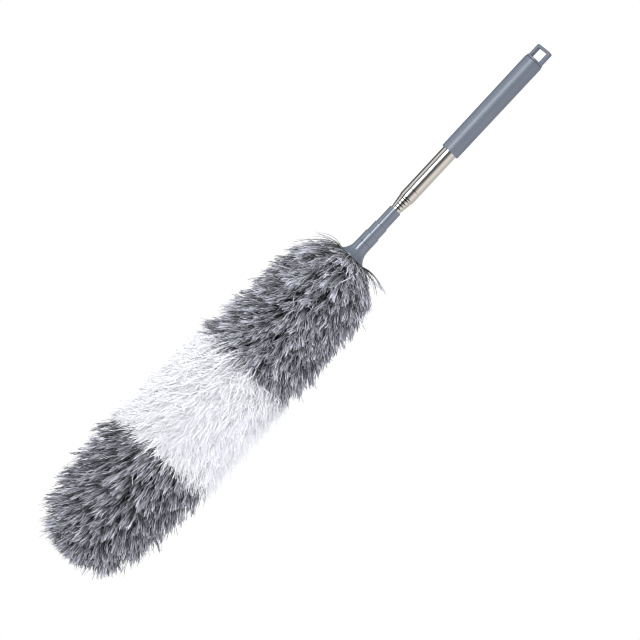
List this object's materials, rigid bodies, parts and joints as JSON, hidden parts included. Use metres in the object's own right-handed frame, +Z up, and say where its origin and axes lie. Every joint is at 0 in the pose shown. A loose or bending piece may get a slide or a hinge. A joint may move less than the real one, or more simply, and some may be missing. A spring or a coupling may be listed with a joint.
{
  "type": "feather duster",
  "caption": "Telescopic duster with a plastic grip and hanging loop, a nested steel tube pole, and a round head of soft strands in grey, white and grey bands.",
  "frame": {"origin": "where a hook bears, under the top bar of the hanging loop, on the pole's axis", "axes": "+Z up along the pole, towards the loop; the head hangs down along -Z. X is across the loop's opening's width, and Y is the way a hook goes through it."},
  "size_m": [0.11, 0.11, 0.6099],
  "materials": {
    "grip_plastic": "satin",
    "trim_plastic": "satin",
    "steel": "polished",
    "cup_brass": "satin",
    "core_plastic": "matte",
    "backing_cloth": "matte",
    "grey_strands": "matte",
    "white_strands": "matte"
  },
  "bodies": {
    "handle": {"hang_loop_cap": "grip_plastic", "grip_sleeve": "grip_plastic", "tube_1": "steel"},
    "section_2": {"tube_2": "steel", "friction_cup_2": "cup_brass"},
    "section_3": {"tube_3": "steel", "friction_cup_3": "cup_brass"},
    "section_4": {"tube_4": "steel", "friction_cup_4": "cup_brass"},
    "section_5": {"tube_5": "steel", "friction_cup_5": "cup_brass"},
    "section_6": {"tube_6": "steel", "friction_cup_6": "cup_brass", "pole_adapter": "trim_plastic"},
    "head": {"head_ferrule": "trim_plastic", "core_rod": "core_plastic", "tip_cap": "core_plastic", "backing_upper": "backing_cloth", "backing_middle": "backing_cloth", "backing_lower": "backing_cloth", "strands_upper": "grey_strands", "strands_middle": "white_strands", "strands_lower": "grey_strands"}
  },
  "joints": [
    {"name": "slide_2", "type": "slide", "parent": "handle", "child": "section_2", "axis": [0, 0, -1], "range_m": [0, 0.15]},
    {"name": "slide_3", "type": "slide", "parent": "section_2", "child": "section_3", "axis": [0, 0, -1], "range_m": [0, 0.15]},
    {"name": "slide_4", "type": "slide", "parent": "section_3", "child": "section_4", "axis": [0, 0, -1], "range_m": [0, 0.15]},
    {"name": "slide_5", "type": "slide", "parent": "section_4", "child": "section_5", "axis": [0, 0, -1], "range_m": [0, 0.15]},
    {"name": "slide_6", "type": "slide", "parent": "section_5", "child": "section_6", "axis": [0, 0, -1], "range_m": [0, 0.15]},
    {"name": "head_release", "type": "slide", "parent": "section_6", "child": "head", "axis": [0, 0, -1], "range_m": [0, 0.016]}
  ]
}
